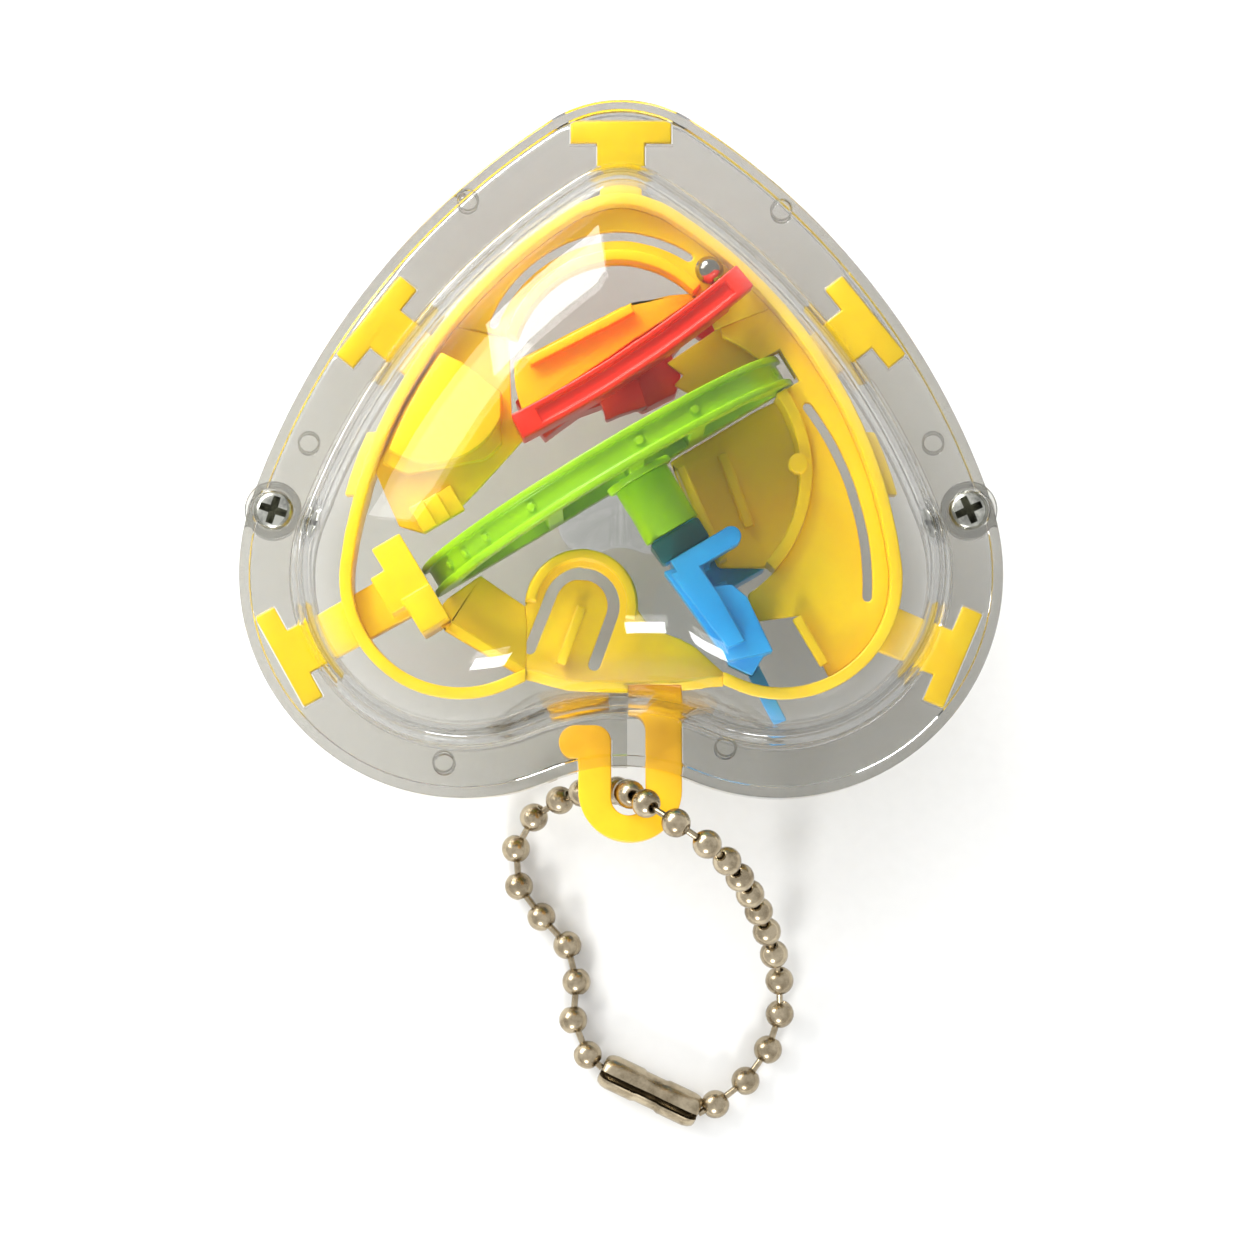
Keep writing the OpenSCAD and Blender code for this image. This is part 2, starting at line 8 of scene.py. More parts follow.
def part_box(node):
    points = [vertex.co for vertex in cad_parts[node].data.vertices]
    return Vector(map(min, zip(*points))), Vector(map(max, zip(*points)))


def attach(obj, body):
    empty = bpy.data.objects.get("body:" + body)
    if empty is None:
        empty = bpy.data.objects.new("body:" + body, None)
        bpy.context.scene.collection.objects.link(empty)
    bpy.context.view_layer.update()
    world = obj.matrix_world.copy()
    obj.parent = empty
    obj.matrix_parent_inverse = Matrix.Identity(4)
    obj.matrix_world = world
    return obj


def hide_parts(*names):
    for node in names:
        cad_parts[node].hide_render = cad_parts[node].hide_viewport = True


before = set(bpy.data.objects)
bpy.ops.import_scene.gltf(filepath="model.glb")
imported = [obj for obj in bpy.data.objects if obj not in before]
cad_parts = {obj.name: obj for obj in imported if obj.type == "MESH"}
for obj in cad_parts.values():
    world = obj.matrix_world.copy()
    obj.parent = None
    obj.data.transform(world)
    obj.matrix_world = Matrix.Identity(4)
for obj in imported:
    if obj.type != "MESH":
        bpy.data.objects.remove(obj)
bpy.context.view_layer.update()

mm = 0.001
centreY = 3.35   # the heart's own origin lies this far behind the row's origin
midZ = 17.5      # height of the joint between the two case halves


def point(x, y, z=0.0):   # heart measures, from the joint plane, to metres in the row
    return Vector((x * mm, (y + centreY) * mm, (z + midZ) * mm))


def polar(centre, radius, angle):
    return (centre[0] + radius * math.cos(math.radians(angle)),
            centre[1] + radius * math.sin(math.radians(angle)))


def addObject(name, mesh):
    thing = bpy.data.objects.new(name, mesh)
    bpy.context.scene.collection.objects.link(thing)
    return thing


def makePiece(name, bm, finish, body="puzzle", smoothAngle=38.0, replaced=()):
    mesh = bpy.data.meshes.new(name)
    bmesh.ops.recalc_face_normals(bm, faces=bm.faces)
    bm.to_mesh(mesh)
    bm.free()
    mesh.shade_smooth()
    mesh.set_sharp_from_angle(angle=math.radians(smoothAngle))
    piece = addObject(name, mesh)
    mesh.materials.clear()
    mesh.materials.append(finish)
    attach(piece, body)
    if replaced:
        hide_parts(*replaced)
    return piece


cameraPlace = {"from": (0.0, 46.0, 520.0), "at": (0.0, 11.7, 8.0), "frame": 104.0}

cameraData = bpy.data.cameras.new("camera")
camera = addObject("camera", cameraData)
eye = Vector(cameraPlace["from"]) * mm
look = Vector(cameraPlace["at"]) * mm - eye
cameraData.sensor_width = 36.0
cameraData.lens = 36.0 * look.length / (cameraPlace["frame"] * mm)
backward = -look.normalized()
right = Vector((0, -1, 0)).cross(backward).normalized()   # the heart's tip points up in the view
above = backward.cross(right)
camera.matrix_world = Matrix.Translation(eye) @ Matrix((right, above, backward)).transposed().to_4x4()
cameraData.clip_start = 0.01
bpy.context.scene.camera = camera
print("camera placed")


def srgb(code):
    values = [int(code[i:i + 2], 16) / 255 for i in (1, 3, 5)]
    return tuple(v / 12.92 if v <= 0.04045 else ((v + 0.055) / 1.055) ** 2.4 for v in values) + (1.0,)


def addNode(tree, kind, settings=None, links=None):
    node = tree.nodes.new(kind)
    for name, value in (settings or {}).items():
        if isinstance(name, str) and hasattr(node, name):
            setattr(node, name, value)
        else:
            node.inputs[name].default_value = value
    for name, source in (links or {}).items():
        tree.links.new(source, node.inputs[name])
    return node


def setRamp(node, stops):
    ramp = node.color_ramp
    for element, (place, colour) in zip(ramp.elements, stops):
        element.position = place
        element.color = colour
    return node


def newMaterial(name):
    material = bpy.data.materials.new(name)
    material.use_nodes = True
    material.node_tree.nodes.clear()
    return material, material.node_tree


# Coloured polystyrene from a polished mould: even colour with faint flow marks, and a soft sheen
def mouldedStyrene(name, base, shade, sheen=0.3):
    material, tree = newMaterial(name)
    place = addNode(tree, "ShaderNodeTexCoord")
    # flow marks about 6 mm across
    flow = addNode(tree, "ShaderNodeTexNoise",
                   {"Scale": 160.0, "Detail": 4.0, "Roughness": 0.55, "Distortion": 0.8},
                   {"Vector": place.outputs["Object"]})
    tint = setRamp(addNode(tree, "ShaderNodeValToRGB", None, {"Fac": flow.outputs["Fac"]}),
                   [(0.3, srgb(shade)), (0.62, srgb(base))])
    # mould texture of about 0.25 mm, drawn as coarse as it needs to show
    grain = addNode(tree, "ShaderNodeTexNoise", {"Scale": 3600.0, "Detail": 3.0, "Roughness": 0.6},
                    {"Vector": place.outputs["Object"]})
    matt = addNode(tree, "ShaderNodeMapRange", {"To Min": sheen - 0.07, "To Max": sheen + 0.12},
                   {"Value": grain.outputs["Fac"]})
    wave = addNode(tree, "ShaderNodeMath", {"operation": "MULTIPLY_ADD", 1: 0.35},
                   {0: flow.outputs["Fac"], 2: grain.outputs["Fac"]})
    bump = addNode(tree, "ShaderNodeBump", {"Strength": 0.12, "Distance": 0.00005},
                   {"Height": wave.outputs[0]})
    shader = addNode(tree, "ShaderNodeBsdfPrincipled",
                     {"IOR": 1.5, "Subsurface Weight": 0.08, "Subsurface Scale": 0.0008,
                      "Subsurface Radius": (1.0, 0.8, 0.4)},
                     {"Base Color": tint.outputs["Color"], "Roughness": matt.outputs["Result"],
                      "Normal": bump.outputs["Normal"]})
    addNode(tree, "ShaderNodeOutputMaterial", None, {"Surface": shader.outputs["BSDF"]})
    return material


# Clear polystyrene, injection moulded: a grey tint, gentle waves and a few fine rubs
def clearStyrene(name, tint, haze):
    material, tree = newMaterial(name)
    place = addNode(tree, "ShaderNodeTexCoord")
    # waves in the wall about 8 mm long
    waves = addNode(tree, "ShaderNodeTexNoise", {"Scale": 120.0, "Detail": 1.0},
                    {"Vector": place.outputs["Object"]})
    # rubs from pockets and keys, hair-thin and up to 4 mm long
    stretch = addNode(tree, "ShaderNodeMapping",
                      {"Scale": (900.0, 140.0, 300.0), "Rotation": (0.0, 0.0, 0.7)},
                      {"Vector": place.outputs["Object"]})
    rubs = addNode(tree, "ShaderNodeTexNoise", {"Scale": 4.0, "Detail": 5.0, "Roughness": 0.7},
                   {"Vector": stretch.outputs["Vector"]})
    matt = addNode(tree, "ShaderNodeMapRange",
                   {"From Min": 0.5, "From Max": 0.8, "To Min": haze, "To Max": haze + 0.06},
                   {"Value": rubs.outputs["Fac"]})
    bump = addNode(tree, "ShaderNodeBump", {"Strength": 0.25, "Distance": 0.00012},
                   {"Height": waves.outputs["Fac"]})
    shader = addNode(tree, "ShaderNodeBsdfPrincipled",
                     {"Base Color": srgb(tint), "IOR": 1.32, "Transmission Weight": 1.0},
                     {"Roughness": matt.outputs["Result"], "Normal": bump.outputs["Normal"]})
    # most of the light that falls on a clear wall reaches what is behind it
    through = addNode(tree, "ShaderNodeBsdfTransparent", {"Color": srgb("#F6F6F6")})
    ray = addNode(tree, "ShaderNodeLightPath")
    # light that is caught inside the flange gets out in the end
    caught = addNode(tree, "ShaderNodeMath", {"operation": "GREATER_THAN", 1: 5.5},
                     {0: ray.outputs["Ray Depth"]})
    free = addNode(tree, "ShaderNodeMath", {"operation": "MAXIMUM"},
                   {0: ray.outputs["Is Shadow Ray"], 1: caught.outputs[0]})
    mix = addNode(tree, "ShaderNodeMixShader", None,
                  {0: free.outputs[0], 1: shader.outputs["BSDF"], 2: through.outputs["BSDF"]})
    addNode(tree, "ShaderNodeOutputMaterial", None, {"Surface": mix.outputs["Shader"]})
    return material


# Plated or polished steel: slightly uneven and duller where it is handled
def brightMetal(name, base, shade, roughness):
    material, tree = newMaterial(name)
    place = addNode(tree, "ShaderNodeTexCoord")
    # handling marks about 1.5 mm across
    marks = addNode(tree, "ShaderNodeTexNoise", {"Scale": 650.0, "Detail": 6.0, "Roughness": 0.65},
                    {"Vector": place.outputs["Object"]})
    tint = setRamp(addNode(tree, "ShaderNodeValToRGB", None, {"Fac": marks.outputs["Fac"]}),
                   [(0.32, srgb(shade)), (0.6, srgb(base))])
    matt = addNode(tree, "ShaderNodeMapRange", {"To Min": roughness + 0.12, "To Max": roughness - 0.05},
                   {"Value": marks.outputs["Fac"]})
    bump = addNode(tree, "ShaderNodeBump", {"Strength": 0.15, "Distance": 0.00003},
                   {"Height": marks.outputs["Fac"]})
    shader = addNode(tree, "ShaderNodeBsdfPrincipled", {"Metallic": 1.0},
                     {"Base Color": tint.outputs["Color"], "Roughness": matt.outputs["Result"],
                      "Normal": bump.outputs["Normal"]})
    addNode(tree, "ShaderNodeOutputMaterial", None, {"Surface": shader.outputs["BSDF"]})
    return material


finishes = {
    "yellowStyrene": mouldedStyrene("yellowMouldedStyrene", "#FFD906", "#FCCE00"),
    # the hook is the thickest part of the moulding, so its colour is deeper
    "yellowHook": mouldedStyrene("yellowHookMouldedStyrene", "#F3BA0A", "#EAAE04"),
    "limeStyrene": mouldedStyrene("limeMouldedStyrene", "#A4DE00", "#94CE00"),
    "redStyrene": mouldedStyrene("redMouldedStyrene", "#FF2E0A", "#FA2104"),
    "blueStyrene": mouldedStyrene("blueMouldedStyrene", "#2FB0F6", "#1C9DE4"),
    "clearCase": clearStyrene("clearMouldedStyrene", "#D1D1CF", 0.015),
    "nickel": brightMetal("nickelPlatedSteel", "#B8AA90", "#80725B", 0.22),
    # dark teal is painted shade: the blue plastic as it looks in shade, used for the collar round the stem
    "shadedBlueStyrene": mouldedStyrene("paintedShadeBlueStyrene", "#0F6464", "#0A4E52"),
    "zinc": brightMetal("brightZincPlate", "#C6C6BC", "#80807A", 0.2),
    "polishedSteel": brightMetal("polishedSteel", "#C6C1B8", "#A9A49B", 0.1),
}
print("materials ready")

chain = {"ball": 2.4, "pitch": 3.25, "wire": 0.55,
         "route": [(1.6, 45.7, 1.5), (3.01, 44.43, 1.45), (3.9, 42.75, 1.3), (4.15, 40.77, 1.25),
                   (3.75, 38.75, 1.25), (3.85, 36.6, 1.25), (4.9, 34.7, 1.25), (6.7, 33, 1.25),
                   (8.4, 31.1, 1.3), (9.15, 28.7, 1.4), (8.7, 26.2, 1.7), (7.1, 24.3, 2.6),
                   (5.1, 23.2, 4.4), (3.2, 22.7, 7), (1.4, 22.6, 10.2), (0, 22.8, 13.6),
                   (-0.6, 23.15, 16.4), (-0.6, 23.2, 18.2), (-1, 23.45, 20.4), (-2.35, 24.35, 22.4),
                   (-4.65, 25.9, 23.3), (-7.05, 27.5, 22.2), (-9, 29.05, 19.2), (-10.4, 30.9, 15),
                   (-11.6, 33, 10.6), (-12.6, 35.4, 6.8), (-13.3, 38, 3.8), (-13.5, 40.6, 2.1),
                   (-13, 43.1, 1.4), (-11.6, 45.6, 1.3), (-9.5, 47.9, 1.4), (-6.53, 49.56, 1.5)]}
connector = {"centre": (-2.465, 47.63, 1.5), "turn": -25.4, "length": 9.0, "radius": 1.5, "sheet": 0.3,
             "slot": 24, "slotFacing": 70}   # how wide the slot is and where it faces, in degrees

route = [Vector((x * mm, (y + centreY) * mm, z * mm)) for x, y, z in chain["route"]]


# Points at equal spacing along the route, with the route's direction at each
def spacedAlong(line, count):
    lengths = [0.0]
    for a, b in zip(line, line[1:]):
        lengths.append(lengths[-1] + (b - a).length)
    found = []
    for i in range(count):
        want = lengths[-1] * (i + 0.5) / count
        k = max(j for j in range(len(line) - 1) if lengths[j] <= want)
        share = (want - lengths[k]) / (lengths[k + 1] - lengths[k])
        found.append((line[k].lerp(line[k + 1], share), (line[k + 1] - line[k]).normalized()))
    return found, lengths[-1]


def makeChain():
    count = round(spacedAlong(route, 2)[1] / (chain["pitch"] * mm))
    stops, length = spacedAlong(route, count)
    bm = bmesh.new()
    finished = set()
    for place, way in stops:
        turn = way.to_track_quat("Z", "Y").to_matrix().to_4x4()
        # the ball is rolled from sheet, so its two wire holes have a small turned-in rim
        half = [bm.verts.new((r * mm, 0, z * mm)) for r, z in
                [(0.33, -0.9), (0.38, -1.06), (0.5, -1.09)]
                + [polar((0, 0), chain["ball"] / 2, a) for a in range(-62, 63, 12)]
                + [(0.5, 1.09), (0.38, 1.06), (0.33, 0.9)]]
        edges = [bm.edges.new(pair) for pair in zip(half, half[1:])]
        bmesh.ops.spin(bm, geom=half + edges, cent=(0, 0, 0), axis=(0, 0, 1), dvec=(0, 0, 0),
                       angle=math.tau, steps=20, use_merge=True, use_duplicate=False)
        newest = [v for v in bm.verts if v not in finished]
        bmesh.ops.transform(bm, matrix=Matrix.Translation(place) @ turn, verts=newest)
        finished.update(newest)
    # wires reach from ball to ball, and from the end balls into the connector
    joints = [route[0]] + [place for place, way in stops] + [route[-1]]
    radius = chain["wire"] / 2 * mm
    for a, b in zip(joints, joints[1:]):
        span = b - a
        turn = span.to_track_quat("Z", "Y").to_matrix().to_4x4()
        bmesh.ops.create_cone(bm, cap_ends=True, segments=8, radius1=radius, radius2=radius,
                              depth=span.length, matrix=Matrix.Translation((a + b) / 2) @ turn)
    piece = makePiece("ballChain", bm, finishes["nickel"], smoothAngle=50,
                      replaced=["ball_chain"])
    return piece, length


# Clasp folded from sheet: a split tube with rounded, turned-in ends
def makeConnector():
    half, radius, sheet = connector["length"] / 2, connector["radius"], connector["sheet"]
    end = [(half - 0.9, radius), (half - 0.45, 1.4), (half - 0.12, 1.2), (half, 0.95), (half - 0.05, 0.75)]
    profile = ([(-x, r) for x, r in reversed(end)]
               + [(-1.2, radius), (-0.9, radius - 0.12), (0.9, radius - 0.12), (1.2, radius)] + end)
    bm = bmesh.new()
    row = [bm.verts.new((x * mm, r * mm, 0)) for x, r in profile]
    edges = [bm.edges.new(pair) for pair in zip(row, row[1:])]
    bmesh.ops.rotate(bm, verts=row, cent=(0, 0, 0),
                     matrix=Matrix.Rotation(math.radians(connector["slot"] / 2), 3, "X"))
    bmesh.ops.spin(bm, geom=row + edges, cent=(0, 0, 0), axis=(1, 0, 0), dvec=(0, 0, 0),
                   angle=math.radians(360 - connector["slot"]), steps=42, use_duplicate=False)
    bmesh.ops.recalc_face_normals(bm, faces=bm.faces)
    centre = sum((f.calc_center_median() for f in bm.faces), Vector()) / len(bm.faces)
    side = bm.faces[:][len(bm.faces) // 2]
    if side.normal.dot(side.calc_center_median() - centre) < 0:
        bmesh.ops.reverse_faces(bm, faces=bm.faces)
    bmesh.ops.solidify(bm, geom=bm.faces[:], thickness=sheet * mm)
    x, y, z = connector["centre"]
    place = Vector((x * mm, (y + centreY) * mm, z * mm))
    # the slot faces up and a little towards the loop
    bmesh.ops.transform(bm, verts=bm.verts, matrix=Matrix.Translation(place)
                        @ Matrix.Rotation(math.radians(connector["turn"]), 4, "Z")
                        @ Matrix.Rotation(math.radians(connector["slotFacing"]), 4, "X"))
    return makePiece("chainConnector", bm, finishes["nickel"], smoothAngle=40,
                     replaced=["chain_connector"])


connectorPiece = makeConnector()
chainPiece, chainLength = makeChain()
print("key chain made,", round(chainLength / mm, 1), "mm")

case = {"lobeX": 12.9, "lobeY": 5.2, "lobeR": 18.4, "sideR": 61.0, "tipR": 10.7, "tipY": -33.9,
        "cleftY": 21.0, "height": 17.5, "flange": 1.8, "flangeWidth": 4.3, "wall": 1.3, "domeBase": 0.9,
        "domeTipY": -28.6, "domeMiddleY": -2.0, "squareness": 2.4, "flat": 0.2, "seam": 0.04,
        "rings": 26, "steps": 9}


# A heart as four arcs on each side that meet smoothly, the same number of points at any size
def heartOutline(lobeX, lobeY, lobeR, sideR, tipR, tipY, cleftY, steps):
    drop = cleftY - lobeY
    cleftR = (lobeX * lobeX + drop * drop - lobeR * lobeR) / (2 * (lobeR - drop))
    lobe, tip, cleft = Vector((lobeX, lobeY)), Vector((0, tipY + tipR)), Vector((0, cleftY + cleftR))
    gapLength = (tip - lobe).length
    way = (tip - lobe) / gapLength
    a, b = sideR - lobeR, sideR - tipR
    reach = (a * a - b * b + gapLength ** 2) / (2 * gapLength)
    side = lobe + reach * way + math.sqrt(a * a - reach * reach) * Vector((way.y, -way.x))

    def heading(v):
        return math.degrees(math.atan2(v.y, v.x))

    arcs = [(cleft, cleftR, -90, heading(lobe - cleft), steps),
            (lobe, lobeR, heading(cleft - lobe), heading(lobe - side), 5 * steps),
            (side, sideR, heading(lobe - side), heading(tip - side), 3 * steps),
            (tip, tipR, heading(tip - side), -90, 2 * steps)]
    half = [(0, cleftY)]
    for centre, radius, start, end, count in arcs:
        half += [polar(centre, radius, start + (end - start) * i / count) for i in range(1, count + 1)]
    return half + [(-x, y) for x, y in reversed(half[1:-1])]


def flangeOutline(inset):
    return heartOutline(case["lobeX"], case["lobeY"], case["lobeR"] - inset, case["sideR"] - inset,
                        case["tipR"] - inset, case["tipY"] + inset, case["cleftY"] - inset, case["steps"])


def domeOutline(inset):
    inset += case["flangeWidth"]
    return heartOutline(case["lobeX"], case["lobeY"], case["lobeR"] - inset, case["sideR"] - inset,
                        case["tipR"] - inset, case["domeTipY"] + inset - case["flangeWidth"],
                        case["cleftY"] - inset, case["steps"])


# Loops of a dome from its base to its flat top
def domeLoops(inset, top, base):
    power = case["squareness"]
    last = math.acos(case["flat"] ** (power / 2))
    full = math.sin(last) ** (2 / power)
    outline = domeOutline(inset)
    loops = []
    for i in range(case["rings"] + 1):
        angle = last * i / case["rings"]
        scale, rise = math.cos(angle) ** (2 / power), math.sin(angle) ** (2 / power) / full
        loops.append([(x * scale, case["domeMiddleY"] + (y - case["domeMiddleY"]) * scale,
                       base + (top - base) * rise) for x, y in outline])
    return loops


def atHeight(outline, z):
    return [(x, y, z) for x, y in outline]


# Loops over a whole case half: up inside the dome, out along the seam and back over the flange and dome
def shellLoops():
    wall, flange, base, seam = case["wall"], case["flange"], case["domeBase"], case["seam"]
    inner = domeLoops(wall, case["height"] - wall, base)
    outer = [loop for loop in domeLoops(0, case["height"], base) if loop[0][2] > flange + 0.35]
    mouth = [(wall - 0.35, base - 0.25), (0.65, 0.1), (0.55, seam)]
    edge = [(0.25, seam), (0.07, 0.1), (0, 0.28), (0, flange + 0.32), (0.06, flange + 0.45),
            (0.2, flange + 0.5), (0.7, flange + 0.5), (0.84, flange + 0.44), (0.9, flange + 0.3),
            (0.94, flange + 0.08), (1.05, flange)]   # the flange has a low rim round it
    foot = [(-0.3, flange), (-0.1, flange + 0.06)]
    return (list(reversed(inner)) + [atHeight(domeOutline(inset), z) for inset, z in mouth]
            + [atHeight(flangeOutline(inset), z) for inset, z in edge]
            + [atHeight(domeOutline(inset), z) for inset, z in foot] + outer)


# One case half. up is 1 for the front half and -1 for the rear half
def makeShell(name, node, up):
    bm = bmesh.new()
    loops = shellLoops()
    verts = [bm.verts.new(p) for p in loops[0]]
    edges = [bm.edges.new((verts[i], verts[(i + 1) % len(verts)])) for i in range(len(verts))]
    bmesh.ops.contextual_create(bm, geom=edges)
    for loop in loops[1:]:
        made = bmesh.ops.extrude_edge_only(bm, edges=edges)["geom"]
        newVerts = [g for g in made if isinstance(g, bmesh.types.BMVert)]
        edges = [g for g in made if isinstance(g, bmesh.types.BMEdge) and g.is_boundary]
        order = {v: k for k, v in enumerate(verts)}
        following = [None] * len(verts)
        for v in newVerts:
            below = next(e.other_vert(v) for e in v.link_edges if e.other_vert(v) in order)
            following[order[below]] = v
        verts = following
        for v, p in zip(verts, loop):
            v.co = p
    bmesh.ops.contextual_create(bm, geom=edges)
    for v in bm.verts:
        v.co = point(v.co.x, v.co.y, v.co.z * up)
    return makePiece(name, bm, finishes["clearCase"], smoothAngle=30, replaced=[node])


# Each tab: the middle of its bar and the way that it faces
tabs = {"places": [((0, -31.3), -90), ((-27.2, 12), 157), ((27.2, 12), 29), ((-20.1, -15.6), 219),
                   ((20.1, -15.6), -39)],
        "bar": 8.5, "thick": 2.0, "stem": 4.1, "stemLength": 8.0, "windowStem": 2.6, "depth": 1.27,
        "hookLegs": [(-5.1, -0.5, 16.5, 24.5), (0.7, 3.6, 18.7, 24.5)]}


# Adds a straight-sided block with the given outline, between two heights
def addBlock(bm, outline, low, high):
    face = bm.faces.new([bm.verts.new(point(x, y, low)) for x, y in outline])
    grown = bmesh.ops.extrude_face_region(bm, geom=[face])["geom"]
    top = [g for g in grown if isinstance(g, bmesh.types.BMVert)]
    bmesh.ops.translate(bm, verts=top, vec=(0, 0, (high - low) * mm))


def tabOutline(place, facing, stemLength):
    w, t, s = tabs["bar"] / 2, tabs["thick"] / 2, tabs["stem"] / 2
    shape = [(-w, t), (-w, -t), (-s, -t), (-s, -stemLength), (s, -stemLength), (s, -t), (w, -t), (w, t)]
    turn = math.radians(facing - 90)
    return [(place[0] + x * math.cos(turn) - y * math.sin(turn),
             place[1] + x * math.sin(turn) + y * math.cos(turn)) for x, y in shape]


# Cuts what is in the bmesh out of a piece
def cutWith(piece, bm, smoothAngle):
    bmesh.ops.recalc_face_normals(bm, faces=bm.faces)
    blocks = bpy.data.meshes.new("cutter")
    bm.to_mesh(blocks)
    bm.free()
    cutter = addObject("cutter", blocks)
    cut = piece.modifiers.new("cut", "BOOLEAN")
    cut.operation, cut.solver, cut.object = "DIFFERENCE", "EXACT", cutter
    bpy.context.view_layer.update()
    result = bpy.data.meshes.new_from_object(piece.evaluated_get(bpy.context.evaluated_depsgraph_get()))
    piece.modifiers.clear()
    piece.data = result
    piece.data.shade_smooth()
    piece.data.set_sharp_from_angle(angle=math.radians(smoothAngle))
    bpy.data.objects.remove(cutter)


# Seats for the tabs and the hook, or the windows that show them
def cutSeats(shell, stemLength, low, high):
    bm = bmesh.new()
    for place, facing in tabs["places"]:
        addBlock(bm, tabOutline(place, facing, stemLength), low, high)
    for x0, x1, y0, y1 in tabs["hookLegs"]:
        addBlock(bm, [(x0, y0), (x1, y0), (x1, y1), (x0, y1)], low, high)
    cutWith(shell, bm, 30)


frontShell = makeShell("frontShell", "front_shell", 1)
rearShell = makeShell("rearShell", "rear_shell", -1)
cutSeats(frontShell, tabs["stemLength"], -1, tabs["depth"])
cutSeats(rearShell, tabs["stemLength"], -tabs["depth"], 1)
cutSeats(rearShell, tabs["windowStem"], -4, -tabs["depth"] + 0.3)

bosses = {"x": 28.5, "hole": 1.68, "shaft": 0.86, "seat": 1.3, "rim": 2.35, "low": 1.6, "high": 2.28,
          "soft": 0.12}


# Screw holes in a shell, between two heights
def cutHoles(shell, radius, low, high):
    bm = bmesh.new()
    for side in (-1, 1):
        middle = point(side * bosses["x"], 0, (low + high) / 2)
        bmesh.ops.create_cone(bm, cap_ends=True, segments=48, radius1=radius * mm, radius2=radius * mm,
                              depth=(high - low) * mm, matrix=Matrix.Translation(middle))
    cutWith(shell, bm, 30)


cutHoles(frontShell, bosses["shaft"], -1, 4)
cutHoles(frontShell, bosses["hole"], bosses["seat"], 4)
cutHoles(rearShell, bosses["shaft"], -4, 1)
print("case made")


# Spins an outline of radius and height pairs round an upright axis
def spinRound(bm, x, y, profile, closed, steps=48):
    row = [bm.verts.new(point(x + r, y, z)) for r, z in profile]
    pairs = list(zip(row, row[1:])) + ([(row[-1], row[0])] if closed else [])
    lines = [bm.edges.new(pair) for pair in pairs]
    bmesh.ops.spin(bm, geom=row + lines, cent=point(x, y, 0), axis=(0, 0, 1), dvec=(0, 0, 0),
                   angle=math.tau, steps=steps, use_merge=True, use_duplicate=False)


# A low collar round each screw's head on the front flange, and round its shank on the rear flange
def makeBosses(name, up, hole):
    rim, low, high, soft = bosses["rim"], bosses["low"], bosses["high"], bosses["soft"]
    profile = [(hole, low), (hole, high - soft), (hole + soft, high), (rim - soft, high),
               (rim, high - soft), (rim, low)]
    bm = bmesh.new()
    for side in (-1, 1):
        spinRound(bm, side * bosses["x"], 0, [(r, z * up) for r, z in profile], True)
    return makePiece(name, bm, finishes["clearCase"])


# slot is one arm of the cross: its length, width and depth before it is turned on edge
screws = {"head": 1.62, "shank": 0.8, "low": 1.32, "top": 2.3, "end": -2.2, "slot": (2.3, 0.45, 1.3),
          "turns": (24, -18)}


# Two pan heads with a cross recess each
def makeScrews():
    head, shank, low, top, end = (screws[key] for key in ("head", "shank", "low", "top", "end"))
    profile = [(0, end), (shank - 0.1, end), (shank, end + 0.1), (shank, low), (head - 0.08, low),
               (head, low + 0.08), (head, top - 0.5), (head - 0.06, top - 0.34), (head - 0.22, top - 0.18),
               (head - 0.5, top - 0.07), (head - 0.9, top - 0.015), (0, top)]
    places = list(zip((-bosses["x"], bosses["x"]), screws["turns"]))
    bm = bmesh.new()
    for x, turn in places:
        spinRound(bm, x, 0, profile, False)
    bmesh.ops.remove_doubles(bm, verts=bm.verts, dist=1e-6)
    piece = makePiece("caseScrews", bm, finishes["zinc"], replaced=["case_screws"])
    armSize = Matrix.Diagonal([length * mm for length in screws["slot"]]).to_4x4()
    onEdge = Matrix.Rotation(math.radians(45), 4, "X")   # the arms are V grooves
    for quarter in (0, 90):
        bm = bmesh.new()
        for x, turn in places:
            arm = bmesh.ops.create_cube(bm, size=1.0)["verts"]
            turned = Matrix.Rotation(math.radians(turn + quarter), 4, "Z")
            bmesh.ops.transform(bm, verts=arm,
                                matrix=Matrix.Translation(point(x, 0, top)) @ turned @ armSize @ onEdge)
        cutWith(piece, bm, 38)


makeScrews()
makeBosses("frontBosses", 1, bosses["hole"])
makeBosses("rearBosses", -1, bosses["shaft"])

# Round marks that the mould's ejector pins leave on the flange
pinMarks = {"radius": 0.85, "line": 0.09, "high": 0.04, "sunk": 0.05,
            "places": [(-8.6, 19.3), (14.5, 20.6), (25.6, -5.6), (-25.6, -5.6), (-13.2, -24.8),
                       (12.6, -25.6)]}


def makePinMarks(name, up):
    radius, line = pinMarks["radius"], pinMarks["line"]
    low, high = case["flange"] - pinMarks["sunk"], case["flange"] + pinMarks["high"]
    profile = [(radius - line, low * up), (radius, high * up), (radius + line, low * up)]
    bm = bmesh.new()
    for x, y in pinMarks["places"]:
        spinRound(bm, x, y, profile, True, steps=36)
    return makePiece(name, bm, finishes["clearCase"])


makePinMarks("frontPinMarks", 1)
makePinMarks("rearPinMarks", -1)
print("bosses and mould marks made")

# Corners of the coloured mouldings: radius, steps, the angle that counts as a corner, weld distance
corners = {"round": 0.13, "segments": 2, "angle": 30.0, "merge": 0.07}
mouldings = {
    "yellowHook": ("yellow_plastic", ["hook"]),
    "yellowStyrene": ("yellow_plastic", ["tip_tab_arm", "upper_tab_arm_left", "upper_tab_arm_right",
                                         "lower_tab_arm_left", "lower_tab_arm_right", "maze_rim",
                                         "top_plate", "lobe_bridge", "left_band", "pocket",
                                         "corner_floor", "bottom_track", "lens_bar", "right_plate",
                                         "stair_steps", "bracket"]),
    "limeStyrene": ("green_plastic", ["arc_track", "stem_socket"]),
    "redStyrene": ("red_plastic", ["curved_blade"]),
    "blueStyrene": ("blue_plastic", ["tower", "tower_pin"]),
}


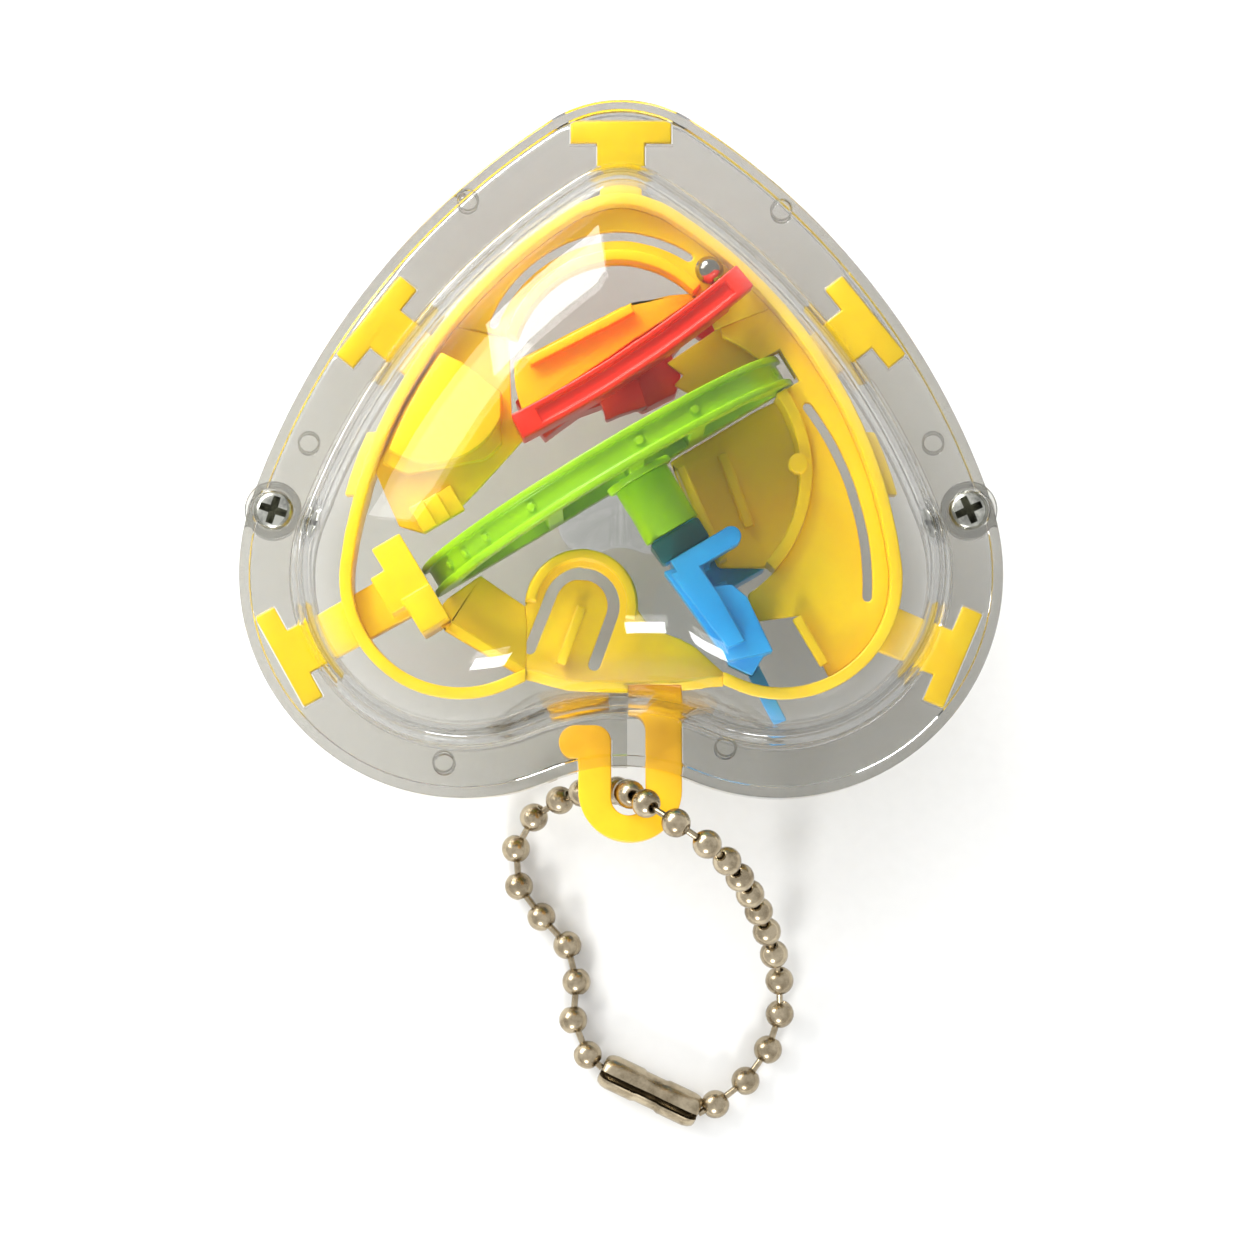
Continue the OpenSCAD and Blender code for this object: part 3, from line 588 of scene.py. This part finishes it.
def camelName(node):
    first, *rest = node.split("_")
    return first + "".join(word.capitalize() for word in rest)


# A copy of a CAD node with its corners rounded as a mould leaves them
def softEdged(node, finish):
    bm = bmesh.new()
    bm.from_mesh(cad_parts[node].data)
    bmesh.ops.remove_doubles(bm, verts=bm.verts, dist=corners["merge"] * mm)
    bmesh.ops.join_triangles(bm, faces=bm.faces, angle_face_threshold=math.radians(1),
                             angle_shape_threshold=math.radians(180))
    sharp = [e for e in bm.edges if len(e.link_faces) == 2
             and e.calc_face_angle() > math.radians(corners["angle"])]
    bmesh.ops.bevel(bm, geom=sharp, offset=corners["round"] * mm, offset_type="OFFSET", affect="EDGES",
                    segments=corners["segments"], profile=0.5, material=-1, clamp_overlap=False)
    return makePiece(camelName(node), bm, finishes[finish], replaced=[node])


for finish, (slot, nodes) in mouldings.items():
    for node in nodes:
        softEdged(node, finish)
print("maze made")

# Square collar between the stem and the tower, coloured dark teal as painted shade: the blue tower's boss
# as it looks in shade
collar = {"centre": (-4.79, 2.82, 3.5), "turn": 30.9, "size": (4.5, 1.95, 4.5), "round": 0.25}

bm = bmesh.new()
bmesh.ops.create_cube(bm, size=1.0)
bmesh.ops.scale(bm, vec=[side * mm for side in collar["size"]], verts=bm.verts)
bmesh.ops.bevel(bm, geom=bm.edges[:], offset=collar["round"] * mm, offset_type="OFFSET", affect="EDGES",
                segments=3, profile=0.5, material=-1, clamp_overlap=True)
bmesh.ops.transform(bm, verts=bm.verts, matrix=Matrix.Translation(point(*collar["centre"]))
                    @ Matrix.Rotation(math.radians(collar["turn"]), 4, "Z"))
makePiece("towerCollar", bm, finishes["shadedBlueStyrene"])
print("collar made")

low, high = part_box("steel_ball")
ballCentre = (Vector(low) + Vector(high)) / 2
bm = bmesh.new()
bmesh.ops.create_uvsphere(bm, u_segments=48, v_segments=32, radius=(high[2] - low[2]) / 2,
                          matrix=Matrix.Translation(ballCentre))
makePiece("steelBall", bm, finishes["polishedSteel"], body="ball", replaced=["steel_ball"])
print("ball made")

studio = {"floor": "#F1F1EF", "floorShade": "#EFEFED", "floorHalf": 1.5, "sky": 1.0, "skyTint": "#F4F5F7",
          "aim": (0, 5, 17)}
bpy.context.scene.view_settings.view_transform = "Standard"

# Matt card under the object
floorFinish, tree = newMaterial("mattCard")
place = addNode(tree, "ShaderNodeTexCoord")
fibre = addNode(tree, "ShaderNodeTexNoise", {"Scale": 900.0, "Detail": 2.0},
                {"Vector": place.outputs["Object"]})
tint = setRamp(addNode(tree, "ShaderNodeValToRGB", None, {"Fac": fibre.outputs["Fac"]}),
               [(0.3, srgb(studio["floorShade"])), (0.7, srgb(studio["floor"]))])
shader = addNode(tree, "ShaderNodeBsdfPrincipled", {"Roughness": 0.9},
                 {"Base Color": tint.outputs["Color"]})
addNode(tree, "ShaderNodeOutputMaterial", None, {"Surface": shader.outputs["BSDF"]})
bm = bmesh.new()
bmesh.ops.create_grid(bm, x_segments=1, y_segments=1, size=studio["floorHalf"])
floorMesh = bpy.data.meshes.new("floor")
bm.to_mesh(floorMesh)
bm.free()
floorMesh.materials.append(floorFinish)
addObject("floor", floorMesh)

world = bpy.data.worlds.new("studio")
bpy.context.scene.world = world
world.use_nodes = True
world.node_tree.nodes["Background"].inputs["Color"].default_value = srgb(studio["skyTint"])
world.node_tree.nodes["Background"].inputs["Strength"].default_value = studio["sky"]

# Soft boxes: where each stands from the object in mm, its two sides in mm and its power in watts
softBoxes = {
    "overhead": ((90, 560, 300), (150, 90), 2.0),
    "window": ((240, -400, 250), (230, 250), 3.2),
    "left": ((430, -250, 330), (320, 260), 1.9),
}
for name, (stand, sides, power) in softBoxes.items():
    lampData = bpy.data.lights.new(name, "AREA")
    lampData.shape = "RECTANGLE"
    lampData.size, lampData.size_y = sides[0] * mm, sides[1] * mm
    lampData.energy = power
    lamp = addObject(name, lampData)
    lamp.location = Vector(stand) * mm
    aim = Vector(studio["aim"]) * mm - lamp.location
    lamp.rotation_euler = aim.to_track_quat("-Z", "Y").to_euler()
print("studio ready")
